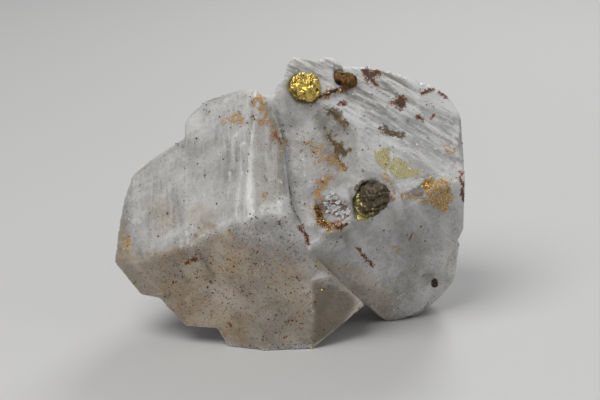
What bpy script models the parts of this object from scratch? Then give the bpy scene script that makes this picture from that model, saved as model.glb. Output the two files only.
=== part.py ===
# Manganoan calcite specimen: milky calcite crystals grown together, with chalcopyrite set in them.
# Metres, +Z up. The viewer stands at -Y and sees +X on the right. The origin is under the middle
# of the specimen, on the flat break that it rests on.

import math

import bmesh
import bpy
from mathutils import Matrix, Vector, noise

MM = 0.001

# The gap between a sulphide and the calcite round it, in millimetres
GAP = 0.3

# The block that every crystal is cut from, in millimetres
BLOCK = 160.0

# A crystal is a block with its faces cut on it. Each face has a bearing, the way that it looks
# (0 to the viewer, 90 to the right, 180 to the back), a tilt, how far it looks up, both in
# degrees, and a corner in millimetres that it passes through.

# Corners of the tall crystal and the left one
NOSE = (-9.4, -27.0, 37.2)
LIT_EDGE = (-17.6, -23.6, 34.0)
TALL_SHOULDER = (-25.9, -2.9, 53.7)
TALL_BEVEL = (-20.6, 4.2, 58.0)
TALL_FOOT = (-18.1, -15.9, 5.2)
SEAM_TOP = (-5.4, -8.3, 62.6)
SEAM_MIDDLE = (-1.3, -13.0, 56.3)
SEAM_LOW = (0.6, -26.6, 39.9)
SEAM_FOOT = (5.4, -23.1, 27.2)
HEEL = (5.1, -21.3, 19.4)
NOTCH = (18.6, -12.9, 9.9)
LEFT_TIP = (-43.2, -13.0, 21.5)
LEFT_SHOULDER = (-39.3, -3.8, 39.9)
LEFT_BEVEL = (-35.5, 4.1, 42.1)

# Corners of the right crystals
TIP = (24.9, -3.2, 0.0)
CREST_LEFT = (7.8, -8.0, 59.8)
BROW_LEFT = (14.4, -21.0, 34.5)
BROW_RIGHT = (16.7, -8.6, 52.5)
CAP_LOW = (5.3, -9.5, 61.5)
CAP_END = (-1.5, -7.4, 67.4)

TALL_CRYSTAL = {
    "lit face": (325, 32, NOSE),
    "beside the ridge": (0, 36, NOSE),
    "front": (6, -13, NOSE),
    "front left": (345, -15, (-8.9, -27.3, 37.2)),
    "left": (256, -12, TALL_SHOULDER),
    "left foot": (263, -26, TALL_FOOT),
    "shoulder bevel": (274, 59, (-23.3, -2.8, 56.2)),
    "shoulder left": (250, 22, TALL_SHOULDER),
    "shoulder back": (240, 23, TALL_BEVEL),
    "top left": (173, 52, TALL_BEVEL),
    "top middle": (168, 54, (-12.7, -4.9, 63.1)),
    "top right": (146, 42, (-9.0, -7.3, 64.0)),
    "right top": (116, 15, SEAM_TOP),
    "right middle": (109, -5, SEAM_MIDDLE),
    "back": (195, -6, (-10.0, 23.0, 30.0)),
}

# The foot of the tall crystal, which spreads to the right under the other crystals. The seam with
# them bends, so the foot is two blocks. Their fronts lie a hair behind the tall crystal's.
HEEL_HIGH = {
    "front": (6, -13, (-9.4, -26.85, 37.2)),
    "beside the ridge": (0, 36, (-9.4, -26.8, 37.2)),
    "seam": (94, 21, SEAM_LOW),
    "top": (150, 60, (0.0, -8.0, 47.0)),
    "foot": (0, -75, (0.0, -23.0, 26.0)),
    "back": (172, -4, (5.0, 12.0, 30.0)),
    "inside": (270, 0, (-6.0, 0.0, 30.0)),
}
HEEL_LOW = {
    "front": (6, -13, (-9.4, -26.95, 37.2)),
    "beside the ridge": (0, 36, (-9.4, -26.6, 37.2)),
    "seam": (105, 42, SEAM_FOOT),
    "lower right facet": (26, -10, HEEL),
    "lower right": (92, -53, NOTCH),
    "top": (150, 55, (0.0, -8.0, 40.0)),
    "back": (168, -4, (5.0, 16.0, 10.0)),
    "inside": (270, 0, (-7.0, 0.0, 10.0)),
}

LEFT_CRYSTAL = {
    "lit face": (325, 32, (-9.4, -26.8, 37.1)),
    "bevel": (261, 57, (-36.4, -3.9, 42.3)),
    "bevel low": (236, 22, (-39.8, 0.1, 38.9)),
    "bevel high": (220, 33, LEFT_BEVEL),
    "strip high": (315, 28, LEFT_SHOULDER),
    "strip low": (319, 25, (-39.3, -10.0, 31.6)),
    "left top": (246, 11, (-40.8, -5.1, 36.1)),
    "left middle": (250, 0, (-42.2, -8.6, 29.8)),
    "left low": (251, -3, LEFT_TIP),
    "front": (348, -19, (-34.1, -19.0, 24.7)),
    "front left": (333, -22, LEFT_TIP),
    "front right": (6, -15, LIT_EDGE),
    "underside left": (261, -34, LEFT_TIP),
    "underside": (153, -76, (-36.7, -12.1, 12.3)),
    "underside right": (134, -62, (-31.7, -15.1, 12.2)),
    "back": (200, 8, (-30.0, 17.0, 28.0)),
    "inside": (90, 0, (-15.0, 0.0, 30.0)),
}

STEP_CRYSTAL = {
    "front": (348, -14, (-21.9, -17.0, 11.8)),
    "left high": (261, -39, (-31.7, -14.9, 11.9)),
    "left": (261, -36, (-29.4, -14.7, 9.1)),
    "left foot": (255, -48, (-27.4, -14.5, 6.5)),
    "underside": (164, -73, (-25.3, -14.5, 4.7)),
    "top": (270, 68, (-31.7, -15.1, 12.5)),
    "inside": (90, 0, (-14.0, 0.0, 10.0)),
    "back": (200, -10, (-20.0, 8.0, 8.0)),
}

CREST_CRYSTAL = {
    "crest face": (35, 40, CREST_LEFT),
    "crest band": (14, 16, CREST_LEFT),
    "left": (2, 5, CREST_LEFT),
    "upper left": (228, 33, (-6.6, -8.4, 61.4)),
    "top left": (199, 58, (9.8, 1.2, 67.2)),
    "top middle": (171, 58, (19.6, 6.7, 65.9)),
    "top right": (157, 56, (25.7, 9.0, 64.0)),
    "corner": (142, 38, (37.6, 11.9, 58.9)),
    "corner low": (118, 20, (40.1, 11.8, 57.0)),
    "right strip": (73, 11, (42.9, 7.8, 51.2)),
    "right high": (104, -2, (42.8, 10.0, 53.1)),
    "right": (103, -5, (43.6, 6.0, 45.3)),
    "right low": (97, -28, (44.3, 0.0, 23.7)),
    "under the brow": (20, -50, (20.0, 0.0, 30.0)),
    "back high": (185, 30, (20.0, 20.0, 50.0)),
    "back": (165, -12, (20.0, 26.0, 35.0)),
    "inside": (270, 0, (-8.0, 5.0, 50.0)),
}

# The brow hangs a little over the crystal that runs down to the tip
BROW_CRYSTAL = {
    "brow": (5, 34, BROW_LEFT),
    "brow right": (30, 33, BROW_RIGHT),
    "under": (43, -33, BROW_LEFT),
    "top": (90, 56, (20.0, 0.0, 52.5)),
    "top back": (180, 50, (20.0, 6.0, 45.0)),
    "right low": (91, -21, (43.7, -6.0, 25.8)),
    "right": (90, 2, (43.1, -7.0, 39.3)),
    "back": (170, -8, (20.0, 10.0, 20.0)),
    "inside": (270, 0, (-4.0, 0.0, 30.0)),
    "seam": (274, -21, (0.3, -26.6, 39.9)),
}

TIP_CRYSTAL = {
    "front": (27, -17, (15.0, -18.6, 34.5)),
    "top": (10, 60, (20.0, -8.0, 42.0)),
    "top back": (178, 42, (20.0, 8.0, 44.0)),
    "left facet": (15, -33, (13.3, -13.7, 17.5)),
    "left underside": (269, -42, (19.2, -4.1, 5.8)),
    "right underside": (64, -70, TIP),
    "right facet": (35, -30, (26.0, -4.3, 5.7)),
    "right foot": (98, -20, (38.1, 0.0, 8.6)),
    "right low": (91, -21, (43.7, -6.0, 25.8)),
    "right": (90, 2, (43.1, -7.0, 39.3)),
    "back": (170, -8, (20.0, 22.0, 20.0)),
    "seam high": (274, -21, (0.45, -26.6, 39.9)),
    "seam low": (285, -42, (5.25, -23.1, 27.2)),
}

PLATE_CRYSTAL = {
    "face": (25, -20, (40.5, 4.0, 10.3)),
    "right": (105, 3, (42.2, 5.0, 16.8)),
    "right low": (94, -34, (42.4, 5.0, 9.9)),
    "underside": (91, -48, (39.4, 5.0, 5.5)),
    "back": (175, -5, (35.0, 18.0, 12.0)),
    "top": (60, 60, (38.0, 8.0, 26.0)),
    "inside": (270, 0, (31.0, 5.0, 12.0)),
}

CAP_LEFT = {
    "front": (28, 40, CAP_LOW),
    "left": (253, 3, CAP_END),
    "left top": (244, 17, (-0.7, -5.1, 69.4)),
    "top": (188, 49, (0.8, -2.9, 70.8)),
    "right top": (168, 47, (4.0, -1.8, 70.2)),
    "lower left": (310, -30, CAP_END),
    "lower": (41, -43, CAP_LOW),
    "back": (190, 0, (4.0, 5.0, 66.0)),
    "inside": (90, 0, (11.0, 0.0, 66.0)),
}

CAP_RIGHT = {
    "front": (32, 40, (5.4, -9.35, 61.5)),
    "left top": (232, 29, (6.2, -1.4, 69.4)),
    "top": (182, 49, (8.5, 0.7, 70.3)),
    "right top": (154, 43, (10.6, 1.3, 69.8)),
    "right high": (120, 17, (12.3, 1.4, 68.9)),
    "right": (70, 15, (13.1, 0.7, 67.7)),
    "lower": (44, -41, (5.8, -9.2, 61.5)),
    "back": (180, 0, (9.0, 7.0, 66.0)),
    "inside": (270, 0, (3.0, 5.0, 66.0)),
}

CRYSTALS = {
    "heel_high": HEEL_HIGH,
    "heel_low": HEEL_LOW,
    "left": LEFT_CRYSTAL,
    "step": STEP_CRYSTAL,
    "crest": CREST_CRYSTAL,
    "brow": BROW_CRYSTAL,
    "tip": TIP_CRYSTAL,
    "plate": PLATE_CRYSTAL,
    "cap_left": CAP_LEFT,
    "cap_right": CAP_RIGHT,
}

# Crystals on the back: bearing, tilt and turn of the long axis, the tip, the half width, the length.
# Each ends in the three faces of a calcite rhomb, which lean 44.6 degrees from the long axis.
RHOMB_LEAN = 44.6
BACK_CRYSTALS = {
    "back_left": (208, 24, 12, (-24.0, 25.0, 30.0), 12.5, 34.0),
    "back_middle": (184, 8, 50, (-4.0, 28.0, 20.0), 10.0, 30.0),
    "back_right": (158, 22, 28, (22.0, 27.0, 44.0), 12.0, 32.0),
    "back_foot": (150, -12, 5, (26.0, 25.0, 14.0), 10.0, 28.0),
    "back_high": (192, 40, 40, (2.0, 17.0, 56.0), 8.5, 26.0),
}

# Growth steps on the crest face. Each is a low strip along the crest: how far up the face it starts
# and ends, how far along the crest it starts and ends, and how high it stands, in millimetres. The
# strips are rooted STEP_ROOT deep in the crystal.
STEP_ROOT = 2.0
CREST_ALONG = (95, -30)
CREST_UP = (161, 35)
CREST_STEPS = [
    (2.0, 3.4, 5.0, 34.0, 0.35),
    (4.6, 6.4, 12.0, 38.0, 0.45),
    (7.4, 8.6, 2.0, 22.0, 0.35),
    (9.2, 11.4, 16.0, 40.0, 0.5),
    (12.4, 13.6, 6.0, 26.0, 0.35),
    (14.6, 16.8, 14.0, 34.0, 0.45),
]

# Growth steps up the right side of the lit face, by the ridge, in the same form
LIT_ALONG = (172, 55)
LIT_ACROSS = (251, -10)
LIT_STEPS = [
    (1.2, 2.2, 3.0, 24.0, 0.25),
    (3.4, 4.8, 1.0, 20.0, 0.3),
    (6.2, 7.2, 6.0, 22.0, 0.25),
]

# The vug in the brow: the middle, the half widths to the right, back and up, and a seed
VUG = ((10.4, -19.3, 37.3), (4.1, 1.9, 4.3), (0.0, 0.0, 0.0), 3)

# Notches, each with its outer corners first and its deepest one last
NOTCHES = {
    "heel_ledge": [(5.2, -21.8, 19.4), (10.1, -19.6, 20.2), (6.9, -22.0, 24.2), (7.1, -19.7, 22.0)],
    "cleft": [(9.0, -8.7, 59.0), (13.8, -8.9, 54.6), (9.3, -9.1, 55.6), (10.6, -6.2, 57.0)],
}

# Blocks split off the back along the cleavage: bearing, tilt and turn of the long axis, and the corner
CLEAVAGE_BREAKS = {
    "break_left": (20, -30, 10, (-14.0, 19.0, 48.0)),
    "break_middle": (330, -20, 40, (8.0, 21.0, 34.0)),
    "break_right": (310, 10, 25, (36.0, 19.0, 30.0)),
}
BREAK_WIDTH = 18.0
BREAK_LENGTH = 40.0

# Sulphides set in the calcite: the middle, the half widths to the right, back and up, the point
# that the lump runs out to, all in millimetres, and a seed
SULPHIDES = {
    "chalcopyrite_top": ((3.6, -7.7, 64.1), (3.7, 2.5, 3.5), (2.0, 0.0, 2.0), 11),
    "chalcopyrite_pocket": ((20.3, -15.6, 39.3), (4.0, 2.6, 3.4), (-4.2, -6.0, -4.6), 4),
    "chalcopyrite_rusted": ((13.5, -1.0, 64.8), (2.9, 1.7, 2.1), (2.6, 0.2, -1.4), 7),
    "pyrite_grain": ((36.6, -1.7, 11.7), (0.8, 0.9, 1.1), (0.4, -0.2, 0.6), 2),
}
FACETS = 30
FACET_SPREAD = 0.14
FACET_NOISE = 2.3

# Colour, roughness and metallic value of each material
CALCITE = ("manganoan_calcite", (0.62, 0.59, 0.55, 1.0), 0.42, 0.0)
GOLD_SULPHIDE = ("chalcopyrite_gold", (0.58, 0.45, 0.14, 1.0), 0.32, 1.0)
DARK_SULPHIDE = ("chalcopyrite_tarnished", (0.25, 0.2, 0.1, 1.0), 0.42, 1.0)
RUST = ("rusted_chalcopyrite", (0.2, 0.09, 0.03, 1.0), 0.75, 0.3)
PYRITE = ("pyrite", (0.33, 0.29, 0.16, 1.0), 0.35, 1.0)
FINISHES = {
    "calcite_cluster": CALCITE,
    "chalcopyrite_top": GOLD_SULPHIDE,
    "chalcopyrite_pocket": DARK_SULPHIDE,
    "chalcopyrite_rusted": RUST,
    "pyrite_grain": PYRITE,
}


def facing(bearing, tilt):
    """The unit vector that a face with this bearing and tilt looks along."""
    turn = math.radians(bearing)
    rise = math.radians(tilt)
    return Vector((math.sin(turn) * math.cos(rise), -math.cos(turn) * math.cos(rise), math.sin(rise)))


def solid(name, shape):
    mesh = bpy.data.meshes.new(name)
    bmesh.ops.recalc_face_normals(shape, faces=shape.faces[:])
    shape.to_mesh(mesh)
    shape.free()
    thing = bpy.data.objects.new(name, mesh)
    bpy.context.scene.collection.objects.link(thing)
    return thing


def cut_block(planes):
    """A block with the given planes cut on it, each a direction and a corner in metres."""
    shape = bmesh.new()
    bmesh.ops.create_cube(shape, size=BLOCK * MM)
    for direction, corner in planes:
        parts = shape.verts[:] + shape.edges[:] + shape.faces[:]
        cut = bmesh.ops.bisect_plane(
            shape, geom=parts, plane_co=corner, plane_no=direction, clear_outer=True
        )
        rim = [item for item in cut["geom_cut"] if isinstance(item, bmesh.types.BMEdge)]
        bmesh.ops.edgeloop_fill(shape, edges=rim)
    return shape


def planes_of(faces):
    return [(facing(bearing, tilt), Vector(corner) * MM) for bearing, tilt, corner in faces.values()]


def crystal(name, faces):
    return solid(name, cut_block(planes_of(faces)))


def rhomb_crystal(name, bearing, tilt, turn, tip, width, length):
    axis = facing(bearing, tilt)
    side = axis.cross(Vector((0.0, 0.0, 1.0))).normalized()
    lean = math.radians(RHOMB_LEAN)
    top = Vector(tip) * MM
    planes = [(-axis, top - axis * length * MM)]
    for step in range(3):
        out = Matrix.Rotation(math.radians(turn + 120 * step), 3, axis) @ side
        planes.append((axis * math.cos(lean) + out * math.sin(lean), top))
    for step in range(6):
        out = Matrix.Rotation(math.radians(turn + 60 * step), 3, axis) @ side
        planes.append((out, top + out * width * MM))
    return solid(name, cut_block(planes))


def growth_step(name, faces, face, start, along, up, sizes):
    """A low strip on one face: the same crystal with that face raised, and cut to the strip."""
    low, high, left, right, rise = sizes
    bearing, tilt, corner = faces[face]
    out = facing(bearing, tilt)
    line = facing(*along)
    slope = line.cross(out).normalized()
    if slope.dot(facing(*up)) < 0:
        slope = -slope
    base = Vector(start) * MM
    planes = planes_of({key: value for key, value in faces.items() if key != face})
    planes.append((out, Vector(corner) * MM + out * rise * MM))
    planes.append((-slope, base + slope * low * MM))
    planes.append((slope, base + slope * high * MM))
    planes.append((-line, base + line * left * MM))
    planes.append((line, base + line * right * MM))
    planes.append((-out, base - out * STEP_ROOT * MM))
    return solid(name, cut_block(planes))


def lump(name, middle, half, point, seed, grow=0.0):
    """A faceted lump: flat facets all round an ellipsoid that is drawn out to a point."""
    planes = []
    for step in range(FACETS):
        height = 1.0 - (2.0 * step + 1.0) / FACETS
        turn = step * math.pi * (3.0 - math.sqrt(5.0)) + seed
        ring = math.sqrt(1.0 - height * height)
        out = Vector((ring * math.cos(turn), ring * math.sin(turn), height))
        reach = Vector((half[0] * out.x, half[1] * out.y, half[2] * out.z)).length
        reach = max(reach, out.dot(Vector(point)))
        reach *= 1.0 + FACET_SPREAD * noise.noise(out * FACET_NOISE + Vector((seed, 0.0, 0.0)))
        planes.append((out, (Vector(middle) + out * (reach + grow)) * MM))
    return solid(name, cut_block(planes))


def wedge(name, corners):
    shape = bmesh.new()
    for corner in corners:
        shape.verts.new(Vector(corner) * MM)
    bmesh.ops.convex_hull(shape, input=shape.verts[:])
    return solid(name, shape)


def base_block():
    """Everything under the flat break that the specimen rests on."""
    shape = bmesh.new()
    bmesh.ops.create_cube(shape, size=BLOCK * MM)
    bmesh.ops.translate(shape, verts=shape.verts[:], vec=(0.0, 0.0, -BLOCK / 2 * MM))
    return solid("base_break", shape)


def gather(name, things):
    """Put helper solids in a collection of their own, out of the render."""
    group = bpy.data.collections.new(name)
    bpy.context.scene.collection.children.link(group)
    for thing in things:
        bpy.context.scene.collection.objects.unlink(thing)
        group.objects.link(thing)
        thing.hide_render = True
        thing.display_type = "WIRE"
    return group


def combine(thing, operation, group):
    change = thing.modifiers.new(group.name, "BOOLEAN")
    change.operation = operation
    change.solver = "EXACT"
    change.operand_type = "COLLECTION"
    change.collection = group


def grown_parts():
    things = [crystal(name, faces) for name, faces in CRYSTALS.items()]
    things += [rhomb_crystal(name, *sizes) for name, sizes in BACK_CRYSTALS.items()]
    for number, sizes in enumerate(CREST_STEPS):
        name = f"crest_step_{number}"
        start = CREST_LEFT
        things.append(growth_step(name, CREST_CRYSTAL, "crest face", start, CREST_ALONG, CREST_UP, sizes))
    for number, sizes in enumerate(LIT_STEPS):
        name = f"lit_step_{number}"
        things.append(growth_step(name, TALL_CRYSTAL, "lit face", NOSE, LIT_ALONG, LIT_ACROSS, sizes))
    return things


def cut_parts():
    things = [lump("vug", *VUG)]
    things += [wedge(name, corners) for name, corners in NOTCHES.items()]
    for name, (bearing, tilt, turn, corner) in CLEAVAGE_BREAKS.items():
        things.append(rhomb_crystal(name, bearing, tilt, turn, corner, BREAK_WIDTH, BREAK_LENGTH))
    for name, sizes in SULPHIDES.items():
        things.append(lump(name + "_socket", *sizes, grow=GAP))
    things.append(base_block())
    return things


def finish(thing, name, colour, roughness, metallic):
    material = bpy.data.materials.get(name) or bpy.data.materials.new(name)
    material.use_nodes = True
    shader = material.node_tree.nodes["Principled BSDF"]
    shader.inputs["Base Color"].default_value = colour
    shader.inputs["Roughness"].default_value = roughness
    shader.inputs["Metallic"].default_value = metallic
    thing.data.materials.clear()
    thing.data.materials.append(material)


def middle_of(thing):
    """The middle of a solid's box as it is after its modifiers, left to right and front to back."""
    shaped = thing.evaluated_get(bpy.context.evaluated_depsgraph_get())
    corners = [Vector(corner) for corner in shaped.bound_box]
    lowest = [min(corner[axis] for corner in corners) for axis in range(3)]
    highest = [max(corner[axis] for corner in corners) for axis in range(3)]
    return Vector(((lowest[0] + highest[0]) / 2, (lowest[1] + highest[1]) / 2, 0.0))


for old in list(bpy.data.objects):
    bpy.data.objects.remove(old)

cluster = crystal("calcite_cluster", TALL_CRYSTAL)
combine(cluster, "UNION", gather("grown_together", grown_parts()))
combine(cluster, "DIFFERENCE", gather("cut_away", cut_parts()))
for name, sizes in SULPHIDES.items():
    lump(name, *sizes)
for name, look in FINISHES.items():
    finish(bpy.data.objects[name], *look)

middle = middle_of(cluster)
for thing in bpy.data.objects:
    thing.location -= middle
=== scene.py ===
# %% [markdown]
# # A milky calcite specimen
# The real thing is a group of blocky calcite crystals that grew into one another. The calcite is
# clouded like thin milk, its faces are satin rather than shiny, and brown iron specks sit in it. Four
# small sulphide lumps are set in the surface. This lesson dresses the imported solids: it keeps their
# size and place, and adds the worn edges, the growth relief, the clouds, the stains and the metal.

import itertools
import math

import bmesh
import bpy
import numpy as np
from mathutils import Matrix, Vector
from mathutils.bvhtree import BVHTree


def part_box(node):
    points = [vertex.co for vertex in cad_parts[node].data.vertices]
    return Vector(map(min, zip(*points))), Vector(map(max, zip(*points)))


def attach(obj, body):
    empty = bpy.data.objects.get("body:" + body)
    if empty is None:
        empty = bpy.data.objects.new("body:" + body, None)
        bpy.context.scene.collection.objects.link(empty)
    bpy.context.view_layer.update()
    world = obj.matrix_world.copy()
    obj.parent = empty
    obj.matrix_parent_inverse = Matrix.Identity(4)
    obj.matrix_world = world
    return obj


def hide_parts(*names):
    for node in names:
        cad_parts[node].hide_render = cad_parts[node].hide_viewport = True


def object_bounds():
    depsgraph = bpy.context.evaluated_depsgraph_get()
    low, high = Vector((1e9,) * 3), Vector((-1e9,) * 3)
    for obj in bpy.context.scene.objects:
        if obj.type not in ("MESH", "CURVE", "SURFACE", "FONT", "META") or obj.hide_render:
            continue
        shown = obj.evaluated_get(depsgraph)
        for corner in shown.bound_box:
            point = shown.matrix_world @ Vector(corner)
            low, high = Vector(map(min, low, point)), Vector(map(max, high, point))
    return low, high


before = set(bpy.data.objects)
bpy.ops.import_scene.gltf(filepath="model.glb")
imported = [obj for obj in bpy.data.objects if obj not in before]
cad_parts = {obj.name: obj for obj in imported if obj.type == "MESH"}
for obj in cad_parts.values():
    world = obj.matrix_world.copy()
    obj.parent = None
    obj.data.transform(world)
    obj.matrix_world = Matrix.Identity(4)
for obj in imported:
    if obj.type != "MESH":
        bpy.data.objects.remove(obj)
cad_low, cad_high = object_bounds()
MM = 0.001
print("solids", sorted(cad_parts), "box mm", [round(v / MM, 1) for v in cad_high - cad_low])

# %% [markdown]
# ## The camera
# It comes first, because the stains are placed through it. A long lens far away keeps the crystal
# faces from spreading, as in a product shot of a stone. The camera looks down a little on the
# specimen, so the upper faces show as much as the front ones.

# %% Camera
IMAGE_WIDTH, IMAGE_HEIGHT = 600, 400
LENS, SENSOR = 100.0, 36.0
CAMERA_RISE = math.radians(18.0)
CAMERA_DISTANCE = 416.667 * MM
CAMERA_TARGET = Vector((2.125, -1.603, 33.2)) * MM
NEAREST_SEEN, FARTHEST_SEEN = 0.01, 20.0
PIXELS_PER_SLOPE = LENS / SENSOR * IMAGE_WIDTH
UPWARD = (0.0, math.sin(CAMERA_RISE), math.cos(CAMERA_RISE))


def new_object(name, data):
    thing = bpy.data.objects.new(name, data)
    bpy.context.scene.collection.objects.link(thing)
    return thing


camera = new_object("camera", bpy.data.cameras.new("camera"))
camera.data.lens = LENS
camera.data.sensor_width = SENSOR
to_viewer = Vector((0.0, -math.cos(CAMERA_RISE), math.sin(CAMERA_RISE)))
camera.location = CAMERA_TARGET + to_viewer * CAMERA_DISTANCE
camera.rotation_euler = (-to_viewer).to_track_quat("-Z", "Y").to_euler()
camera.data.clip_start, camera.data.clip_end = NEAREST_SEEN, FARTHEST_SEEN
bpy.context.scene.camera = camera


def pixels_of(points):
    """Where points in metres fall in the picture, in pixels from its upper left corner."""
    away = points - np.array(camera.location)
    depth = away @ -np.array(to_viewer)
    across = IMAGE_WIDTH / 2 + PIXELS_PER_SLOPE * away[:, 0] / depth
    down = IMAGE_HEIGHT / 2 - PIXELS_PER_SLOPE * (away @ np.array(UPWARD)) / depth
    return np.stack((across, down), axis=1)


def point_at(pixel, tree):
    """The first point of a surface that the camera sees at a pixel."""
    across = (pixel[0] - IMAGE_WIDTH / 2) / PIXELS_PER_SLOPE
    down = (pixel[1] - IMAGE_HEIGHT / 2) / PIXELS_PER_SLOPE
    ray = (-to_viewer + Vector((1.0, 0.0, 0.0)) * across - Vector(UPWARD) * down).normalized()
    return tree.ray_cast(camera.location, ray)[0]


print("camera at mm", [round(v / MM, 1) for v in camera.location])

# %% [markdown]
# ## Noise for shaping
# Growth relief needs a soft random number at every point of the mesh. Blender has a noise function,
# but it takes one point at a time. The short one below works on a whole array at once, and always
# gives the same numbers, so the specimen comes out the same each time.

# %% Noise on arrays
LATTICE = np.array((73856093, 19349663, 83492791), dtype=np.int64)


def scramble(cells, seed):
    """A random number from 0 to 1 for every cell of a grid."""
    number = (cells @ LATTICE + seed * 374761393) & 0x7FFFFFFF
    number = (number ^ (number >> 13)) * 1274126177 & 0x7FFFFFFF
    number = (number ^ (number >> 16)) * 668265263 & 0x7FFFFFFF
    return (number >> 7) % 65536 / 65535.0


def soft_noise(points, seed):
    """Smooth noise from -1 to 1, with about one bump in each unit of length."""
    cells = np.floor(points).astype(np.int64)
    part = points - cells
    fade = part * part * (3.0 - 2.0 * part)
    total = np.zeros(len(points))
    for corner in itertools.product((0, 1), repeat=3):
        weight = np.prod(np.where(corner, fade, 1.0 - fade), axis=1)
        total += weight * scramble(cells + np.array(corner), seed)
    return total * 2.0 - 1.0


def rough_noise(points, seed, layers=3):
    """Soft noise with finer and fainter layers on top."""
    total = sum(soft_noise(points * 2.0**layer, seed + layer) / 2.0**layer for layer in range(layers))
    return total / (2.0 - 0.5 ** (layers - 1))


def nearest_cell(points, seed):
    """For each point the distance to the nearest of a set of scattered points, and its number."""
    cells = np.floor(points).astype(np.int64)
    best = np.full(len(points), 9.0)
    number = np.zeros(len(points))
    for corner in itertools.product((-1, 0, 1), repeat=3):
        cell = cells + np.array(corner)
        heart = cell + np.stack([scramble(cell, seed + axis) for axis in range(3)], axis=1)
        away = np.linalg.norm(points - heart, axis=1)
        nearer = away < best
        best = np.where(nearer, away, best)
        number = np.where(nearer, scramble(cell, seed + 7), number)
    return best, number


def smooth_step(value, low, high):
    part = np.clip((value - low) / (high - low), 0.0, 1.0)
    return part * part * (3.0 - 2.0 * part)


# %% [markdown]
# ## The calcite's surface
# The imported solid has flat faces and knife edges. Real calcite is soft, so its edges are rubbed and
# chipped. A voxel remesh turns the solid into one even skin of small quads, which rounds the edges a
# little and gives points to shape. Its spacing is as fine as the limit of 200,000 triangles allows.
# A remesh can leave tiny closed bubbles inside a solid, where two walls come close together. Nobody
# sees them, but they are stray faces in the mesh, so they are deleted.

# %% Remesh the solid
SKIN_SPACING = 0.52 * MM
BUBBLE_POINTS = 200


def merged_copy(node, name):
    """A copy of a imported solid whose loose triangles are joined."""
    shape = bmesh.new()
    shape.from_mesh(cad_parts[node].data)
    bmesh.ops.remove_doubles(shape, verts=shape.verts[:], dist=0.001 * MM)
    mesh = bpy.data.meshes.new(name)
    shape.to_mesh(mesh)
    shape.free()
    return new_object(name, mesh)


def baked(thing):
    """Puts the result of an object's modifiers in its mesh, and takes the modifiers off."""
    graph = bpy.context.evaluated_depsgraph_get()
    mesh = bpy.data.meshes.new_from_object(thing.evaluated_get(graph), depsgraph=graph)
    thing.modifiers.clear()
    mesh.name = thing.name
    thing.data = mesh
    return thing


def remeshed(thing, spacing):
    change = thing.modifiers.new("skin", "REMESH")
    change.mode = "VOXEL"
    change.voxel_size = spacing
    return baked(thing)


def without_bubbles(thing):
    """Deletes every loose part of a mesh that has only a few points."""
    shape = bmesh.new()
    shape.from_mesh(thing.data)
    left = set(shape.verts)
    bubbles = []
    while left:
        part = [left.pop()]
        for vertex in part:
            for edge in vertex.link_edges:
                neighbour = edge.other_vert(vertex)
                if neighbour in left:
                    left.remove(neighbour)
                    part.append(neighbour)
        if len(part) < BUBBLE_POINTS:
            bubbles += part
    bmesh.ops.delete(shape, geom=bubbles, context="VERTS")
    shape.to_mesh(thing.data)
    shape.free()
    print(len(bubbles), "points of bubbles deleted from", thing.name)
    return thing


def vectors_of(items, name):
    values = np.empty(len(items) * 3)
    items.foreach_get(name, values)
    return values.reshape(-1, 3)


def points_of(thing):
    return vectors_of(thing.data.vertices, "co")


def normals_of(thing):
    return vectors_of(thing.data.vertex_normals, "vector")


def move_points(thing, points):
    thing.data.vertices.foreach_set("co", points.reshape(-1))
    thing.data.update()


def smoothed(thing, points, rounds, amount):
    """Moves every point part of the way to the middle of its neighbours, a few times."""
    pairs = np.empty(len(thing.data.edges) * 2, dtype=np.int64)
    thing.data.edges.foreach_get("vertices", pairs)
    start, end = pairs.reshape(-1, 2).T
    count = np.bincount(start, minlength=len(points)) + np.bincount(end, minlength=len(points))
    for _ in range(rounds):
        total = np.stack(
            [
                np.bincount(start, points[end, axis], len(points))
                + np.bincount(end, points[start, axis], len(points))
                for axis in range(3)
            ],
            axis=1,
        )
        points = points + amount * (total / count[:, None] - points)
    return points


calcite_solid = merged_copy("calcite_cluster", "calcite_solid")
calcite = without_bubbles(remeshed(merged_copy("calcite_cluster", "calcite"), SKIN_SPACING))
points = smoothed(calcite, points_of(calcite), 1, 0.5)
move_points(calcite, points)
print("calcite skin", len(points), "points", 2 * len(calcite.data.polygons), "triangles")

# %% [markdown]
# ## Which crystal face is which
# Later steps treat the faces differently: the crest is frosted, the lit face is striated. Each point
# of the skin looks up the nearest flat of the solid and takes that flat's direction. Where the skin's
# own direction differs from it, the point is near an edge, which tells where to put the wear and the
# painted edge highlight.

# %% Faces and edges
def facing(bearing, tilt):
    """The direction of a crystal face: bearing 0 looks at the viewer and 90 to the right."""
    turn, rise = math.radians(bearing), math.radians(tilt)
    return np.array((math.sin(turn) * math.cos(rise), -math.cos(turn) * math.cos(rise), math.sin(rise)))


solid_tree = BVHTree.FromObject(calcite_solid, bpy.context.evaluated_depsgraph_get())
flats = np.array([solid_tree.find_nearest(Vector(point))[1] for point in points])
outward = normals_of(calcite)
EDGE_BEGINS, EDGE_FULL = 0.004, 0.08
edge_wear_and_highlight = smooth_step(1.0 - np.sum(flats * outward, axis=1), EDGE_BEGINS, EDGE_FULL)


def on_face(bearing, tilt, spread=0.985):
    """1 on the points whose flat looks this way, 0 elsewhere."""
    return smooth_step(flats @ facing(bearing, tilt), spread, spread + 0.01)


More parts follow.
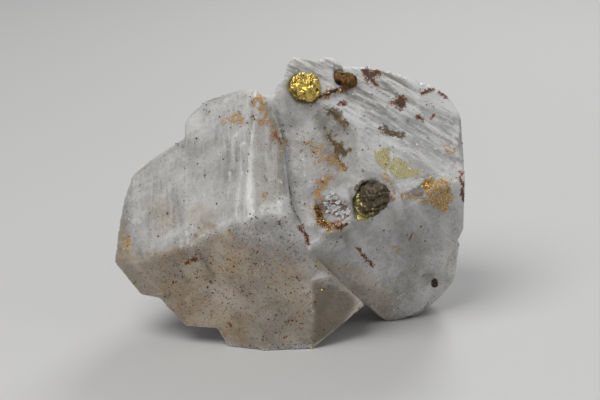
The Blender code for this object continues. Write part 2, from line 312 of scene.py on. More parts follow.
# Bearing and tilt of the main faces
LIT_FACE, CREST_FACE, TIP_FACE = (325, 32), (35, 40), (27, -17)
FRONT_FACE, LEFT_FRONT_FACE = (6, -14), (346, -16)
on_lit_face = on_face(*LIT_FACE)
on_crest = on_face(*CREST_FACE)
on_ridge_side = on_face(3, 35, 0.97)
on_tip_front = on_face(*TIP_FACE)
on_front = np.clip(on_face(*FRONT_FACE) + on_face(*LEFT_FRONT_FACE), 0.0, 1.0)
print("points on the lit face", int(on_lit_face.sum()), "and on the crest", int(on_crest.sum()))

# %% [markdown]
# ## Tracing on the picture
# Some features are placed by where they show in the picture. Each is traced as a few corners
# in pixels. Two helpers are needed: how far a point falls from a traced line or outline, and whether
# the camera sees the point at all, because the back of the specimen falls on the same pixels.

# %% Tracing helpers
def distance_to(pixels, corners, closed):
    """How many pixels each point is from a mark: 0 inside a closed one."""
    ends = corners[1:] + corners[:1] if closed else corners[1:]
    best = np.full(len(pixels), 1e9)
    crossed = np.zeros(len(pixels), dtype=bool)
    for start, end in zip(corners, ends):
        start, end = np.array(start, dtype=float), np.array(end, dtype=float)
        along = end - start
        share = np.clip((pixels - start) @ along / (along @ along), 0.0, 1.0)
        best = np.minimum(best, np.linalg.norm(pixels - start - share[:, None] * along, axis=1))
        if closed and start[1] != end[1]:
            level = (start[1] > pixels[:, 1]) != (end[1] > pixels[:, 1])
            reach = start[0] + (pixels[:, 1] - start[1]) * along[0] / along[1]
            crossed ^= level & (pixels[:, 0] < reach)
    return np.where(crossed, 0.0, best)


def seen_points(points, outward):
    """1 on the points that the camera sees, fading out where the surface turns away."""
    tree = BVHTree.FromObject(calcite, bpy.context.evaluated_depsgraph_get())
    eye = Vector(camera.location)
    lift = 0.6 * MM
    seen = np.zeros(len(points))
    for number, (point, normal) in enumerate(zip(points, outward)):
        if normal @ np.array(to_viewer) > 0.0:
            spot = Vector(point) + Vector(normal) * lift
            seen[number] = tree.ray_cast(spot, eye - spot)[0] is None
    return seen * smooth_step(outward @ np.array(to_viewer), 0.02, 0.2)


pixels = pixels_of(points)
seen = seen_points(points, outward)
print("the camera sees", int(seen.sum()), "of", len(points), "points")

# %% [markdown]
# ## Growth relief
# A calcite face isn't a mirror. It grew in thin layers, so it carries low terraces, with their edges
# along the crystal's own directions. Calcite also breaks along cleavage, which chips its edges in
# steps, and small pits mark where it was etched. These moves all go inwards, so the skin stays inside
# the solid. The seam where the tall crystal meets the rest is healed over, so it gets a soft fillet.
# The sizes are in millimetres, and small, because the photograph shows low relief.

# %% Shape the skin
# Outlines of facets that also carry a mark, further on
UPPER_TRIANGLE = [(364, 138), (381, 147), (373, 151)]
LOWER_TRIANGLE = [(395, 180), (431, 176), (401, 193)]
LEFT_FILM = [(376, 151), (389, 148), (391, 159), (387, 172), (378, 162)]
RIGHT_FILM = [(396, 157), (420, 174), (409, 177), (396, 177), (390, 168)]
LEFT_BORDER = [(113, 262), (118, 224), (125, 195), (131, 180), (131, 233), (143, 259)]
LEFT_SLIT = [(141, 297), (158, 295), (182, 295), (201, 289)]
# Facets where the calcite split along its cleavage: how deep they lie in millimetres, and corners
SPLITS = {
    "upper triangle": (0.45, UPPER_TRIANGLE),
    "chip between the films": (0.3, [(389, 151), (398, 150), (398, 157), (391, 160)]),
    "left film": (0.3, LEFT_FILM),
    "right film": (0.4, RIGHT_FILM),
    "lower triangle": (0.6, LOWER_TRIANGLE),
    "dark facet": (0.8, [(402, 194), (434, 178), (422, 198), (406, 206)]),
    "break in the lit face": (0.25, [(186, 230), (200, 222), (214, 225), (205, 238), (190, 246)]),
    "left border": (0.25, LEFT_BORDER),
    "slit under the left crystal": (0.35, LEFT_SLIT + [(182, 299), (158, 301)]),
}
SEAM = [(267, 94), (277, 108), (284, 125), (288, 147), (289, 185), (290, 204), (306, 234)]
SEAM_FILLET_ROUNDS = 50
SEAM_REACH, SEAM_CORE = 13.0, 5.0
LUMP_FOOT = [(303, 101), (306, 106)]
FOOT_REACH, FOOT_CORE = 7.0, 3.0
CREST_LINE = facing(95, -30)
LIT_LINE = facing(172, 55)
TIP_LINE = facing(75, 40)
TERRACE_RISE, TERRACE_WIDTH, TERRACE_LENGTH = 0.1, 1.6, 9.0
WAVE_HEIGHT, WAVE_LENGTH = 0.08, 6.5
CHIP_DEPTH, CHIP_SIZE = 0.5, 1.9
PIT_DEPTH, PIT_SPACING, PIT_SHARE = 0.32, 2.1, 0.38
BACK_DEPTH, BACK_SIZE = 0.6, 2.4


def across_line(line, face):
    side = np.cross(line, face)
    return side / np.linalg.norm(side)


def terraces(points, line, face, seed):
    """How far points lie below their terrace: low steps, drawn out along a line in the face."""
    ways = ((line, TERRACE_LENGTH), (across_line(line, face), TERRACE_WIDTH), (face, TERRACE_LENGTH))
    spot = np.stack([points @ way / size for way, size in ways], axis=1)
    height = (rough_noise(spot, seed, 2) + 1.0) * 2.0
    step = np.floor(height) + smooth_step(height - np.floor(height), 0.38, 0.62)
    return (4.0 - step) * TERRACE_RISE / 2.0


spots = points / MM
depth = WAVE_HEIGHT * (1.0 + rough_noise(spots / WAVE_LENGTH, 11, 4)) / 2.0
# Terraces: where they lie, the line they follow, their face, a seed and their share of the full rise
TERRACES = [
    (on_crest, CREST_LINE, CREST_FACE, 21, 1.0),
    (on_lit_face, LIT_LINE, LIT_FACE, 31, 0.6),
    (on_ridge_side, LIT_LINE, (0, 36), 35, 0.7),
    (on_tip_front, TIP_LINE, TIP_FACE, 41, 0.8),
    (on_front, facing(80, 5), FRONT_FACE, 51, 0.8),
]
for where, line, face, seed, share in TERRACES:
    depth += where * terraces(spots, line, facing(*face), seed) * share
for split_depth, corners in SPLITS.values():
    inside = smooth_step(-distance_to(pixels, corners, True), -2.0, 0.0)
    depth += split_depth * inside * (seen > 0.0)
chips = smooth_step(rough_noise(spots / CHIP_SIZE, 61, 3), 0.1, 0.7)
depth += edge_wear_and_highlight * (0.03 + CHIP_DEPTH * chips * chips)
pit_distance, pit_number = nearest_cell(spots / PIT_SPACING, 71)
pit_size = 0.12 + 0.3 * pit_number
pits = (pit_number > 1.0 - PIT_SHARE) * smooth_step(-pit_distance, -pit_size, -0.3 * pit_size)
depth += PIT_DEPTH * pits * (0.35 + 0.65 * smooth_step(rough_noise(spots / 8.0, 75), -0.1, 0.4))
behind = smooth_step(outward[:, 1], 0.15, 0.6)
_, facet_number = nearest_cell(spots * np.array((0.28, 0.28, 0.16)), 81)
hackle = smooth_step(rough_noise(spots / BACK_SIZE, 85, 4), -0.4, 0.6)
depth += behind * BACK_DEPTH * (0.5 * facet_number + 0.5 * hackle)
standing = smooth_step(spots[:, 2], 0.15, 1.2)
points = points - outward * (depth * standing * MM)[:, None]
points = smoothed(calcite, points, 1, 0.25)
by_the_seam = smooth_step(-distance_to(pixels, SEAM, False), -SEAM_REACH, -SEAM_CORE) * standing
by_the_foot = smooth_step(-distance_to(pixels, LUMP_FOOT, False), -FOOT_REACH, -FOOT_CORE)
by_the_seam = np.maximum(by_the_seam, by_the_foot)
points = points + by_the_seam[:, None] * (smoothed(calcite, points, SEAM_FILLET_ROUNDS, 0.5) - points)
points = np.clip(points, np.array(cad_low), np.array(cad_high))
move_points(calcite, points)
calcite.data.shade_smooth()
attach(calcite, "root")
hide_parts("calcite_cluster")
print("relief from", round(float(depth.min()), 2), "to", round(float(depth.max()), 2), "mm")

# %% [markdown]
# ## Marks on the surface
# Iron, manganese and sulphides have stained the calcite in patches, streaks and lines. Each mark is
# traced as a few corners in the picture, with how wide it reaches in pixels. A closed mark
# fills its outline. The marks are kept as attributes, one number for each point and kind, which fade
# out at their rims. The material breaks those soft rims up with fine noise.

# %% Traced marks
# Each mark: reach in pixels, strength, closed or open, corners
# Besides stains, some marks are painted light: the shade marks are painted shade, and some frost marks are
# painted highlights and glow
MARKS = {}

# Frost and painted light: white scratches, rubbed edges and fresh cleavage, and with them painted highlights
# along the edges and on cleavage facets that face the lamp, and a painted glow on thin lower rims
MARKS["frost"] = {
    # Painted highlights on the two cleavage triangles, which shine as facets turned to the lamp
    "upper cleavage triangle": (2.0, 0.6, True, UPPER_TRIANGLE),
    "chip beside the films": (1.5, 0.6, True, [(389, 152), (397, 151), (397, 157), (391, 159)]),
    "lower cleavage triangle": (1.5, 0.6, True, LOWER_TRIANGLE),
    "ledge in the heel": (1.5, 1.0, True, [(311, 281), (319, 270), (331, 276)]),
    # Painted highlights along the edges below, which are partly rubbed white as well
    "ridge": (1.8, 0.2, False, [(254, 91), (253, 150), (252, 220)]),
    "edge under the left crystal": (2.0, 0.8, False, LEFT_SLIT),
    "edge by the tip": (2.0, 0.7, False, [(397, 299), (404, 294), (435, 294), (446, 284)]),
    "crest edge": (2.2, 0.55, False, [(322, 105), (390, 142), (458, 180)]),
    "lower crest edge": (
        2.0, 0.7, False, [(350, 121), (366, 127), (391, 152), (416, 166), (435, 175), (450, 175)]
    ),
    "brow edge": (
        2.0, 0.6, False, [(350, 222), (372, 214), (388, 204), (400, 193), (434, 178), (457, 181)]
    ),
    "bevel edge": (2.4, 0.5, False, [(181, 137), (215, 138)]),
    "spike in the vug": (3.0, 1.0, False, [(331, 191), (337, 200)]),
    "line below the seam": (1.6, 0.6, False, [(311, 282), (313, 345)]),
    "milky spot": (9.0, 0.35, False, [(352, 254), (357, 258)]),
    "cleavage line": (1.8, 0.55, False, [(358, 123), (361, 176)]),
    # Painted highlight along the left border of the lit face
    "left border of the lit face": (4.0, 0.5, False, [(131, 181), (130, 205), (132, 232)]),
    # Painted glow: light coming through the thin lower rims
    "rim of the foot": (3.5, 0.8, False, [(206, 331), (222, 344), (250, 350), (290, 350), (312, 346)]),
    "rim of the left crystal": (3.0, 0.8, False, [(114, 264), (128, 285), (142, 297)]),
    "rim of the heel": (3.0, 0.8, False, [(314, 346), (345, 324), (362, 301)]),
    "rim of the tip": (3.0, 0.8, False, [(372, 306), (386, 322), (402, 320), (436, 298)]),
    "scratch on the front": (2.5, 0.8, False, [(264, 261), (252, 278)]),
    "scratches on the ridge side": (3.0, 0.8, False, [(275, 196), (281, 205)]),
    "nick on the ridge side": (2.5, 0.8, False, [(275, 178), (282, 182)]),
    # Painted highlight on the rounded edge of the seam
    "seam edge": (2.4, 0.55, False, SEAM[:5]),
    "white of the band": (8.0, 0.4, False, [(300, 133), (303, 170), (303, 196)]),
    "line on the tip": (1.6, 0.5, False, [(437, 213), (442, 238), (447, 262)]),
    "foot of the tip": (7.0, 0.4, False, [(392, 312), (415, 304), (438, 288)]),
}

# Film: a thin skin of sulphide that glitters
MARKS["film"] = {
    "left film": (2.0, 1.0, True, LEFT_FILM),
    "right film": (2.0, 1.0, True, RIGHT_FILM),
}

# Olive: dull brown sulphide in the clefts, and a painted shadow under the rim of the pocket
MARKS["olive"] = {
    "patch in the cleft": (9.0, 1.0, False, [(330, 110), (337, 117), (343, 123)]),
    "patch below the cleft": (8.0, 1.0, False, [(331, 136), (337, 145), (346, 152)]),
    "vein below it": (6.5, 1.0, False, [(337, 145), (336, 158), (343, 168)]),
    # Painted shadow under the arched rim of the pocket, in olive
    "shade of the pocket": (4.0, 0.8, False, [(356, 190), (360, 184), (368, 181)]),
    "streak on the crest": (6.5, 1.0, False, [(381, 128), (392, 132), (403, 137)]),
}

# Shade: mostly painted shade, which darkens faces, ledges, hollows and the calcite under the lumps where
# they get less light; along the two cracks it is the darker calcite itself
MARKS["shade"] = {
    "veil on the ridge side": (
        8.0, 0.7, True, [(254, 102), (270, 108), (284, 150), (286, 190), (255, 206)]
    ),
    "veil on the lit face": (12.0, 0.3, True, [(190, 150), (216, 142), (244, 152), (244, 212), (206, 222)]),
    "veil on the band": (10.0, 0.45, True, [(296, 136), (346, 128), (350, 176), (304, 198)]),
    "veil on the upper crest": (12.0, 0.6, True, [(346, 72), (398, 78), (412, 98), (376, 110), (350, 98)]),
    "veil on the caps": (6.0, 0.6, True, [(288, 62), (306, 56), (342, 66), (338, 80), (296, 74)]),
    "veil on the tip": (18.0, 0.4, False, [(395, 222), (420, 250), (405, 290), (385, 305)]),
    "hollow of the lit face": (8.0, 0.3, False, [(175, 190), (179, 212), (186, 234)]),
    "grey wedge": (6.0, 0.3, True, [(286, 78), (296, 88), (318, 104), (300, 127), (289, 127)]),
    "dark of the band": (9.0, 0.45, False, [(351, 132), (354, 150), (353, 172)]),
    "dark between the stains": (14.0, 0.75, False, [(322, 118), (328, 140), (333, 168)]),
    "left strip of the lit face": (2.0, 0.35, True, LEFT_BORDER),
    "crack in the left crystal": (3.5, 0.6, False, [(196, 250), (205, 263), (214, 277)]),
    "second crack": (3.5, 0.5, False, [(174, 262), (187, 281)]),
    "dark of the heel": (9.0, 0.75, True, [(318, 285), (352, 300), (340, 328), (318, 342)]),
    "dark of the tip": (8.0, 0.3, True, [(345, 280), (382, 294), (395, 312), (372, 305)]),
    "shade under the vug": (12.0, 0.7, False, [(326, 234), (346, 236)]),
    "facet under the brow": (3.0, 0.8, True, [(402, 194), (434, 178), (422, 197)]),
    "shade beside the pocket": (5.0, 0.7, False, [(350, 190), (353, 215)]),
}

# Rust: dark iron oxide
MARKS["rust"] = {
    "streak under the caps": (5.0, 1.0, False, [(312, 99), (322, 96), (330, 92), (344, 89)]),
    "dark streak on the left crystal": (3.6, 1.0, False, [(186, 264), (190, 261), (196, 260)]),
    "dot beside the crack": (2.6, 1.0, False, [(210, 281), (212, 282)]),
    "dot above the crack": (2.6, 0.9, False, [(209, 264), (211, 263)]),
    "branching stain": (6.5, 1.0, False, [(365, 70), (369, 77), (377, 84)]),
    "branch of the stain": (5.0, 1.0, False, [(368, 76), (375, 73), (380, 71)]),
    "dark diamond": (6.0, 1.0, True, [(400, 98), (406, 103), (401, 108), (395, 103)]),
    "red mark by the diamond": (5.0, 1.0, False, [(340, 104), (344, 103)]),
    "streak by the corner": (4.5, 1.0, False, [(423, 91), (430, 88), (433, 88)]),
    "streak at the corner": (4.5, 1.0, False, [(440, 93), (446, 97)]),
    "dots on the crest": (4.0, 1.0, False, [(418, 117), (424, 119)]),
    "dots further right": (4.0, 1.0, False, [(432, 117), (434, 115)]),
    "dots at the right edge": (4.0, 1.0, False, [(461, 172), (463, 186), (464, 200)]),
    "curved streak": (3.8, 1.0, False, [(357, 248), (364, 255), (369, 262), (373, 266)]),
    "thin line": (1.6, 0.8, False, [(413, 234), (409, 241)]),
    "rim of the vug": (6.0, 1.0, False, [(318, 206), (319, 217), (326, 224), (338, 226), (346, 224)]),
    "dark in the vug": (5.0, 1.0, False, [(333, 203), (341, 208), (347, 214)]),
    "seam stain": (4.0, 0.9, False, [(301, 226), (304, 234), (308, 243)]),
    "core of the blot": (4.0, 0.9, False, [(277, 134), (284, 142)]),
    "dark dot on the foot": (3.5, 1.0, False, [(229, 324), (231, 326)]),
}

# Ochre: orange iron oxide in grains
MARKS["ochre"] = {
    "orange of the vug": (10.0, 1.0, False, [(318, 204), (319, 217), (326, 224), (338, 227), (346, 224)]),
    "orange under the caps": (6.5, 1.0, False, [(318, 98), (330, 92), (340, 90)]),
    "rim of the pocket": (5.0, 0.9, False, [(384, 175), (392, 186), (394, 199)]),
    "patch at the right edge": (9.0, 0.8, False, [(448, 146), (455, 151)]),
    "small spot on the tip": (6.0, 0.8, False, [(396, 248), (402, 251)]),
    "dots by the seam": (11.0, 0.8, False, [(312, 146), (320, 162)]),
    "dots above the vug": (10.0, 0.9, False, [(327, 158), (338, 168)]),
    "streak to the vug": (7.0, 1.0, False, [(327, 176), (320, 190), (317, 204)]),
    "specks by the ridge": (10.0, 0.9, False, [(258, 98), (264, 110), (267, 124)]),
    "blot by the seam": (8.0, 1.0, False, [(275, 132), (281, 139), (287, 146)]),
    "dots on the lit face": (7.0, 0.9, False, [(224, 121), (234, 116), (243, 120)]),
    "spots in the middle": (4.5, 0.8, False, [(230, 230), (231, 234)]),
    "spot on the ridge side": (4.0, 0.8, False, [(265, 193), (266, 197)]),
    "spots on the left edge": (8.0, 0.8, False, [(124, 240), (127, 248)]),
}

# Gold: dust of fresh sulphide
MARKS["gold"] = {
    "golden dust": (
        5.0, 1.0, True, [(427, 180), (448, 184), (451, 200), (444, 211), (436, 205), (428, 196)]
    ),
    "stalk of the dust": (6.0, 0.8, False, [(404, 197), (415, 199), (427, 202)]),
}

# Tint: a faint brown in the calcite itself
MARKS["tint"] = {
    "brown of the heel": (10.0, 0.9, True, [(314, 285), (356, 300), (340, 332), (314, 345)]),
    "brown beside the cleft": (
        12.0, 0.8, True, [(318, 262), (350, 270), (388, 296), (384, 318), (350, 292)]
    ),
    "yellow of the lit face": (24.0, 0.5, False, [(158, 205), (166, 222)]),
    "yellow of the lower lit face": (20.0, 0.5, False, [(198, 215), (212, 230)]),
    "yellow of the break": (7.0, 0.9, False, [(188, 243), (200, 230), (214, 226)]),
    "brown of the left underside": (
        16.0, 1.0, True, [(120, 262), (170, 258), (225, 240), (250, 300), (240, 340), (190, 320), (150, 295)]
    ),
    "brown of the foot": (26.0, 0.8, True, [(235, 250), (300, 270), (306, 330), (250, 340)]),
    "brown of the left edge": (14.0, 0.8, False, [(118, 225), (118, 255)]),
}

# Vug: a small hollow lined with crystals
MARKS["vug"] = {
    "vug": (2.5, 1.0, True, [(327, 199), (334, 194), (345, 203), (349, 212), (338, 215), (329, 211)]),
}

# Striae: fine growth lines
MARKS["striae"] = {
    "growth lines by the ridge": (14.0, 1.0, True, [(222, 150), (244, 112), (247, 214), (226, 222)]),
    "growth lines of the lit face": (16.0, 0.6, True, [(150, 190), (180, 180), (182, 225), (155, 235)]),
    "growth lines of the band": (10.0, 0.7, False, [(303, 140), (306, 170), (300, 200)]),
}

# %% Marks on the skin
# How far noise drags the rim of each kind out of its outline, as a share of its reach
RAGGED = {"olive": 0.7, "rust": 0.75, "ochre": 1.0, "gold": 1.0, "shade": 0.4, "tint": 0.4, "film": 1.2}
drift = np.stack([rough_noise(points / MM / 1.1, seed, 2) for seed in (91, 95)], axis=1)
marks = {kind: np.zeros(len(points)) for kind in MARKS}
for kind, traced in MARKS.items():
    for reach, strength, closed, corners in traced.values():
        ragged = pixels + drift * reach * RAGGED.get(kind, 0.0)
        near = strength * smooth_step(-distance_to(ragged, corners, closed), -reach, 0.0)
        marks[kind] = np.maximum(marks[kind], near * seen)
print(sum(len(traced) for traced in MARKS.values()), "marks on", int(seen.sum()), "seen points")

# %% [markdown]
# The sides and the back can't be traced, since the picture doesn't show them. There the same kinds of
# stain are scattered by noise, as strongly as in front, so the specimen looks whole from all sides.

# %% Marks that the picture doesn't show
BLEND_ROUNDS = 12
unseen = smoothed(calcite, np.stack((1.0 - seen,) * 3, axis=1), BLEND_ROUNDS, 0.6)[:, 0]
spots = points / MM
low_down = smooth_step(-spots[:, 2], -36.0, -8.0)
# Kind, where it may lie, patch size in millimetres, seed, and the noise at a patch's rim and core
SCATTERED = [
    ("rust", unseen, 5.0, 101, 0.34, 0.7),
    ("ochre", unseen, 6.5, 103, 0.3, 0.62),
    ("frost", unseen * 0.6, 7.0, 105, 0.15, 0.6),
    ("tint", unseen * low_down, 12.0, 107, -0.4, 0.5),
    # Painted highlight along every edge, partly rubbed white as well
    ("frost", 0.45 * edge_wear_and_highlight, 2.5, 109, -0.3, 0.5),
]
for kind, where, size, seed, rim, core in SCATTERED:
    patches = where * smooth_step(rough_noise(spots / size, seed), rim, core)
    marks[kind] = np.maximum(marks[kind], patches)
speck_share = 0.3 + 0.7 * on_front + 0.3 * low_down + 0.2 * on_ridge_side - 0.15 * on_crest
marks["specks"] = np.clip(speck_share, 0.0, 1.0)
clusters = smooth_step(rough_noise(spots / 2.6, 111, 2), -0.1, 0.75)
clusters = clusters * smooth_step(rough_noise(spots / 9.0, 113), -0.5, 0.4)
marks["speckled"] = marks["specks"] * (0.06 + clusters)
marks["crest"] = on_crest
marks["lit"] = np.clip(on_lit_face + 0.6 * on_ridge_side, 0.0, 1.0)


def keep_attribute(thing, name, values):
    holder = thing.data.attributes.new(name, "FLOAT", "POINT")
    holder.data.foreach_set("value", np.ascontiguousarray(values, dtype=np.float32))


for kind, values in marks.items():
    keep_attribute(calcite, kind, values)
print("attributes", sorted(marks))

# %% [markdown]
# ## Writing a material as sums
# A node tree is easier to read as arithmetic. The class below stands for one output socket. Adding or
# multiplying two of them adds a Math node, so a mask can be written as 1 - rust * 0.5. All the other
# nodes come from one method, which takes the node's type, its settings, and what goes in its sockets.

# %% Sockets as numbers
class Signal:
    """One output socket of a material."""

    def __init__(self, paint, socket):
        self.paint = paint
        self.socket = socket

    def maths(self, operation, first, second=0.0):
        return self.paint.node("ShaderNodeMath", {"operation": operation}, {0: first, 1: second})

    def __add__(self, other):
        return self.maths("ADD", self, other)

    def __sub__(self, other):
        return self.maths("SUBTRACT", self, other)

    def __rsub__(self, other):
        return self.maths("SUBTRACT", other, self)

    def __mul__(self, other):
        return self.maths("MULTIPLY", self, other)

    def over(self, other):
        return self.maths("MAXIMUM", self, other)

    def between(self, low, high):
        """0 below low, 1 above high, and smooth between them."""
        ends = {"Value": self, "From Min": low, "From Max": high}
        return self.paint.node("ShaderNodeMapRange", {"interpolation_type": "SMOOTHSTEP"}, ends)

    __radd__ = __add__
    __rmul__ = __mul__


class Paint:
    """A material that is built up from signals."""

    def __init__(self, name):
        self.material = bpy.data.materials.new(name)
        self.material.use_nodes = True
        self.tree = self.material.node_tree
        self.shader = self.tree.nodes["Principled BSDF"]

    def node(self, kind, settings, sockets, output=0):
        made = self.tree.nodes.new(kind)
        for name, value in settings.items():
            setattr(made, name, value)
        for name, value in sockets.items():
            self.feed(made.inputs[name], value)
        return Signal(self, made.outputs[output])

    def feed(self, socket, value):
        if isinstance(value, Signal):
            self.tree.links.new(value.socket, socket)
        else:
            socket.default_value = value

    def place(self, turn=(0.0, 0.0, 0.0), lengths=(1.0, 1.0, 1.0)):
        """Where each point of the piece is, along turned axes, in units of these lengths in millimetres."""
        here = self.node("ShaderNodeTexCoord", {}, {}, "Object")
        scale = tuple(length * MM for length in lengths)
        angles = tuple(math.radians(angle) for angle in turn)
        sockets = {"Vector": here, "Rotation": angles, "Scale": scale}
        return self.node("ShaderNodeMapping", {"vector_type": "TEXTURE"}, sockets)

    def noise(self, place, scale, detail=3.0, roughness=0.55, distortion=0.0):
        sockets = {"Vector": place, "Scale": scale, "Detail": detail}
        sockets.update({"Roughness": roughness, "Distortion": distortion})
        return self.node("ShaderNodeTexNoise", {}, sockets)

    def attribute(self, name):
        return self.node("ShaderNodeAttribute", {"attribute_name": name}, {}, "Fac")

    def mix(self, share, first, second, blend="MIX"):
        sockets = {0: share, 6: first, 7: second}
        return self.node("ShaderNodeMix", {"data_type": "RGBA", "blend_type": blend}, sockets, 2)

    def bump(self, height, distance, strength):
        sockets = {"Height": height, "Distance": distance, "Strength": strength}
        return self.node("ShaderNodeBump", {}, sockets)

    def set(self, **values):
        for name, value in values.items():
            self.feed(self.shader.inputs[name.replace("_", " ").title().replace("Ior", "IOR")], value)


def colour(red, green, blue):
    return (red, green, blue, 1.0)


print("Signal and Paint are ready")

# %% [markdown]
# ## Milky calcite
# Light goes a few millimetres into this calcite and comes back out, which softens every shadow. That
# is subsurface scattering. Inside, veils of tiny bubbles make it white, and where they are missing it
# is grey and clear. The veils lie along the cleavage, so their noise is stretched and turned. On top
# come painted shade, frost with painted highlights, tints, iron stains and specks, in that order, each
# with its own mask.

# %% Milky calcite: masks
calcite_paint = Paint("milky_calcite")
noise, place = calcite_paint.noise, calcite_paint.place
attribute, mix = calcite_paint.attribute, calcite_paint.mix
CLEAVAGE_TURN = (24.0, 38.0, 12.0)
CREST_TURN = (0.0, 30.0, 5.0)
LIT_TURN = (-35.0, 0.0, 4.0)
plain = place()
cloud = noise(plain, 0.09, 4.0, 0.6, 0.4)
veil = noise(place(CLEAVAGE_TURN, (16.0, 3.0, 6.0)), 1.0, 5.0, 0.6, 0.6)
grain = noise(plain, 1.2, 5.0, 0.7)
fine_grain = noise(plain, 3.6, 4.0, 0.75)
crest_streaks = noise(place(CREST_TURN, (7.0, 1.2, 1.0)), 1.0, 5.0, 0.62, 0.3)
crest_lines = noise(place(CREST_TURN, (5.0, 0.4, 0.3)), 1.0, 3.0, 0.6)
lit_streaks = noise(place(LIT_TURN, (0.8, 1.5, 9.0)), 1.0, 4.0, 0.6, 0.3)
growth_lines = noise(place(LIT_TURN, (0.32, 1.2, 7.0)), 1.0, 3.0, 0.6, 0.2)
growth_lines = growth_lines.between(0.52, 0.66) * attribute("striae")
on_the_crest = attribute("crest")
on_the_lit = attribute("lit")
fleck = noise(place(CLEAVAGE_TURN, (2.6, 0.9, 1.4)), 1.0, 4.0, 0.65, 0.5)
milk = (cloud * 0.4 + veil * 0.3 + fleck * 0.18 + grain * 0.12).between(0.4, 0.6)
grit = (grain * 0.4 + fine_grain * 0.6).between(0.38, 0.62)
crest_frost = on_the_crest * (crest_streaks * 0.55 + veil * 0.45).between(0.38, 0.6)
frost = attribute("frost")
frosted_and_highlit = crest_frost + (frost * 1.3 + grit * 0.7 - 0.9).between(0.0, 0.5) + growth_lines * 0.5
frosted_and_highlit = frosted_and_highlit.between(0.0, 1.0)
print("masks for the calcite's clouds")

# %% Milky calcite: colours
CLEAR = colour(0.36, 0.357, 0.345)
MILK = colour(0.68, 0.677, 0.662)
FROST = colour(0.85, 0.85, 0.845)
TINT = colour(0.76, 0.6, 0.4)
SHADE = colour(0.36, 0.335, 0.28)
FILM = colour(0.3, 0.275, 0.11)
FILM_GLITTER = colour(0.62, 0.55, 0.2)
OLIVE = colour(0.062, 0.038, 0.01)
OLIVE_GOLD = colour(0.21, 0.128, 0.022)
RUST = colour(0.045, 0.014, 0.004)
RUST_RIM = colour(0.26, 0.075, 0.008)
ORANGE = colour(0.4, 0.12, 0.012)
OCHRE = colour(0.44, 0.24, 0.035)
GOLD_DUST = colour(0.46, 0.28, 0.04)
SPECK = colour(0.09, 0.036, 0.014)


def broken(kind, fill, soft=0.2):
    """A traced mark with a grainy rim. Fill over 1 keeps its middle whole, below 1 leaves grains."""
    mark = attribute(kind)
    return (mark * fill + grit - 1.0).between(0.0, soft)


skin = mix(milk, CLEAR, MILK)
skin = mix(on_the_lit * 0.4 * lit_streaks.between(0.35, 0.65), skin, MILK)
skin = mix(grit * 0.22, skin, FROST)
# Painted shade: the shade marks darken the colour, broken up by the calcite's streaks and flecks
shade = attribute("shade") * (0.35 + lit_streaks * 0.8 + fleck * 0.7)
skin = mix(shade.between(0.0, 1.0) * 0.85, skin, SHADE, "MULTIPLY")
# Frost, together with the painted highlights and painted glow of the frost marks, whitens the colour
skin = mix(frosted_and_highlit * 0.8, skin, FROST)
blotch = noise(place((70.0, 10.0, 0.0)), 0.13, 5.0, 0.6, 0.5).between(0.3, 0.7)
tint = attribute("tint") * (0.4 + blotch * 0.5 + grit * 0.2)
skin = mix(tint, skin, TINT, "MULTIPLY")
film = broken("film", 1.1, 0.3)
glitter = noise(place((0.0, 45.0, 0.0)), 2.6, 3.0, 0.8).between(0.42, 0.62)
skin = mix(film * 0.8, skin, mix(glitter, FILM, FILM_GLITTER))
olive = broken("olive", 1.3, 0.3)
skin = mix(olive * 0.92, skin, mix(grain.between(0.45, 0.65), OLIVE, OLIVE_GOLD))
ochre = broken("ochre", 0.78, 0.22)
skin = mix(ochre * 0.92, skin, mix(grain.between(0.4, 0.6), ORANGE, OCHRE))
gold = broken("gold", 0.72, 0.22)
skin = mix(gold * 0.92, skin, mix(grain.between(0.42, 0.6), ORANGE, GOLD_DUST))
rust = broken("rust", 1.2, 0.3)
rust_core = attribute("rust") * 0.75 + grain * 0.7 + fine_grain * 0.3 - 0.98
rust_core = rust_core.between(0.0, 0.22)
skin = mix(rust * 0.92, skin, mix(rust_core, RUST_RIM, RUST))
specks = attribute("specks")
turned = place((10.0, 20.0, 30.0))
crowd = noise(turned, 0.35, 3.0, 0.6) * 0.16 + specks * 0.07
small_specks = (noise(turned, 1.9, 4.0, 0.72) + crowd).between(0.74, 0.755)
tiny_specks = noise(place((50.0, 0.0, 70.0)), 4.2, 2.0, 0.6) + crowd
tiny_specks = tiny_specks.between(0.8, 0.83)
dotted = small_specks.over(tiny_specks)
speck_tone = noise(place((0.0, 60.0, 15.0)), 0.6, 2.0, 0.5).between(0.42, 0.58)
skin = mix(dotted * 0.9, skin, mix(speck_tone, SPECK, ORANGE))
print("colours for the calcite, its stains and its specks")

# %% [markdown]
# The gloss follows the same masks: frost and stains are dull, the clear calcite shines a little. The
# fine relief is a bump, since it is thinner than the mesh can hold: hair-thin growth lines on the
# crest and on the lit face, and a soft etched grain everywhere. A small share of the light goes
# straight through instead of scattering, because this calcite isn't chalk.

